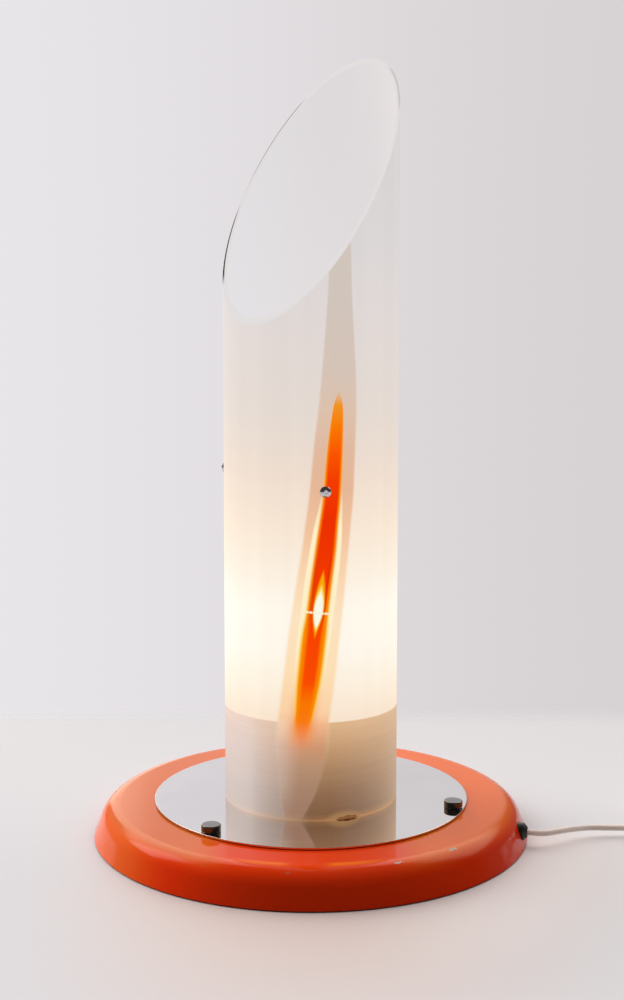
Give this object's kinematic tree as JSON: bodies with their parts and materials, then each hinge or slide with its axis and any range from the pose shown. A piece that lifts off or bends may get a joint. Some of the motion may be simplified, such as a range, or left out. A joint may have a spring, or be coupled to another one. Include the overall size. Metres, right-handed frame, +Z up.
{
  "type": "table lamp",
  "caption": "Table lamp with a tall opal glass tube cut off on the slant, on a mirror plate and a low enamelled round base, with a screw bulb, thumb nuts and a switched cord.",
  "frame": {"origin": "on the table, under the middle of the base", "axes": "+Z up along the glass tube, -Y towards the viewer of the picture, +X to the right, where the cord leaves"},
  "size_m": [0.4815, 0.304, 0.5448],
  "materials": {
    "orange_enamel": "gloss enamel with small chips",
    "dark_steel": "matt paint",
    "steel": "zinc plated",
    "felt": "felt",
    "fibre": "plain",
    "mirror_steel": "mirror polished",
    "black_metal": "satin black",
    "black_plastic": "satin",
    "brass": "plain",
    "white_enamel": "gloss enamel",
    "porcelain": "plain",
    "opal_glass": "opal white fading to clear, with an amber streak",
    "clear_glass": "clear",
    "filament": "glowing wire",
    "chrome": "bright",
    "nylon": "translucent",
    "white_cord": "smooth",
    "lead_cover": "smooth",
    "white_plastic": "gloss"
  },
  "bodies": {
    "lamp": {"base_shell": "orange_enamel", "base_cover": "dark_steel", "cover_posts": "steel", "cover_screws": "steel", "felt_ring": "felt", "plate_spacers": "fibre", "mirror_plate": "mirror_steel", "plate_studs": "steel", "stud_nuts": "steel", "stem_pipe": "brass", "stem_washer": "steel", "stem_nut_low": "brass", "stem_nut_high": "brass", "stem_pillar": "brass", "drum": "white_enamel", "holder_cap": "black_plastic", "holder_insert": "porcelain", "holder_contact": "brass", "holder_liner": "brass", "holder_skirt": "black_plastic", "gland": "black_plastic", "gland_nut": "black_plastic", "cord_sheath": "white_cord", "terminal_block": "nylon", "terminal_screws": "brass", "leads": "lead_cover", "cord_tube": "white_cord", "switch_lower": "white_plastic", "switch_upper": "white_plastic", "switch_contacts": "brass", "switch_screws": "steel", "rocker_pin": "steel", "cord_coil": "white_cord", "coil_ties": "black_plastic", "plug_sleeve": "white_plastic", "plug_body": "white_plastic", "plug_pins": "brass"},
    "glass": {"glass_tube": "opal_glass", "glass_screws": "chrome", "screw_washers": "nylon", "screw_sleeves": "nylon", "screw_nuts": "chrome"},
    "bulb_foot": {"bulb_tip": "steel", "bulb_insulator": "black_plastic"},
    "bulb": {"bulb_cap": "brass", "bulb_glass": "clear_glass", "bulb_stem": "clear_glass", "bulb_leads": "steel", "bulb_filament": "filament"},
    "left_washer": {"washer_left": "black_plastic"},
    "left_nut": {"nut_left": "black_metal"},
    "right_washer": {"washer_right": "black_plastic"},
    "right_nut": {"nut_right": "black_metal"},
    "rear_washer": {"washer_rear": "black_plastic"},
    "rear_nut": {"nut_rear": "black_metal"},
    "rocker": {"rocker": "white_plastic"}
  },
  "joints": [
    {"name": "glass_lift", "type": "slide", "parent": "lamp", "child": "glass", "axis": [0, 0, 1], "range_m": [0, 0.17]},
    {"name": "bulb_rise", "type": "slide", "parent": "lamp", "child": "bulb_foot", "axis": [0, 0, 1], "range_m": [0, 0.0219]},
    {"name": "bulb_turn", "type": "hinge", "parent": "bulb_foot", "child": "bulb", "pos_m": [0, 0, 0.0796], "axis": [0, 0, 1], "range_deg": [0, 2160]},
    {"name": "left_nut_rise", "type": "slide", "parent": "lamp", "child": "left_washer", "axis": [0, 0, 1], "range_m": [0, 0.0036]},
    {"name": "left_nut_turn", "type": "hinge", "parent": "left_washer", "child": "left_nut", "pos_m": [-0.06451, -0.07966, 0.0246], "axis": [0, 0, 1], "range_deg": [0, 1800]},
    {"name": "right_nut_rise", "type": "slide", "parent": "lamp", "child": "right_washer", "axis": [0, 0, 1], "range_m": [0, 0.0036]},
    {"name": "right_nut_turn", "type": "hinge", "parent": "right_washer", "child": "right_nut", "pos_m": [0.09748, -0.03167, 0.0246], "axis": [0, 0, 1], "range_deg": [0, 1800]},
    {"name": "rear_nut_rise", "type": "slide", "parent": "lamp", "child": "rear_washer", "axis": [0, 0, 1], "range_m": [0, 0.0036]},
    {"name": "rear_nut_turn", "type": "hinge", "parent": "rear_washer", "child": "rear_nut", "pos_m": [-0.02997, 0.09802, 0.0246], "axis": [0, 0, 1], "range_deg": [0, 1800]},
    {"name": "rocker_tilt", "type": "hinge", "parent": "lamp", "child": "rocker", "pos_m": [0.261, -0.022, 0.0144], "axis": [0, -1, 0], "range_deg": [0, 16]}
  ],
  "couplings": [
    {"joint": "bulb_rise", "follows": "bulb_turn", "m_per_rad": 0.00057773},
    {"joint": "left_nut_rise", "follows": "left_nut_turn", "m_per_rad": 0.00011141},
    {"joint": "right_nut_rise", "follows": "right_nut_turn", "m_per_rad": 0.00011141},
    {"joint": "rear_nut_rise", "follows": "rear_nut_turn", "m_per_rad": 0.00011141}
  ]
}
